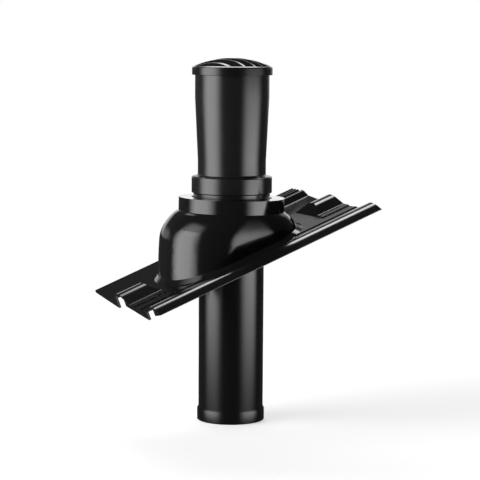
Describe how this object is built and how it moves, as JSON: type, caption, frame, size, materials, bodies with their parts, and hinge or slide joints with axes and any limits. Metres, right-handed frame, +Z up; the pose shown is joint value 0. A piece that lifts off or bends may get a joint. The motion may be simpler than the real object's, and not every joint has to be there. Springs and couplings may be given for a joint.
{
  "type": "roof vent pipe",
  "caption": "Roof vent pipe: a plumb pipe carried through a pitched roof by a profiled plastic tile with a turret, topped by a flared upper tube with a rain ring and a louvred cap.",
  "frame": {"origin": "centre of the pipe's lower end face, on the pipe's upright axis", "axes": "+Z up along the pipe, +Y up the slope of the roof, +X along the eaves towards the tile's overlapping edge"},
  "size_m": [0.33, 0.3994, 0.6139],
  "materials": {
    "tile_plastic": "satin black moulded plastic",
    "tube_plastic": "satin black moulded plastic",
    "cap_plastic": "satin black moulded plastic",
    "pipe_plastic": "satin black extruded plastic",
    "seal_rubber": "matt black rubber"
  },
  "bodies": {
    "root": {"roof_tile": "tile_plastic", "turret_seal": "seal_rubber", "upper_tube": "tube_plastic", "socket_seal": "seal_rubber", "vent_pipe": "pipe_plastic", "louvred_cap": "cap_plastic"}
  },
  "joints": []
}
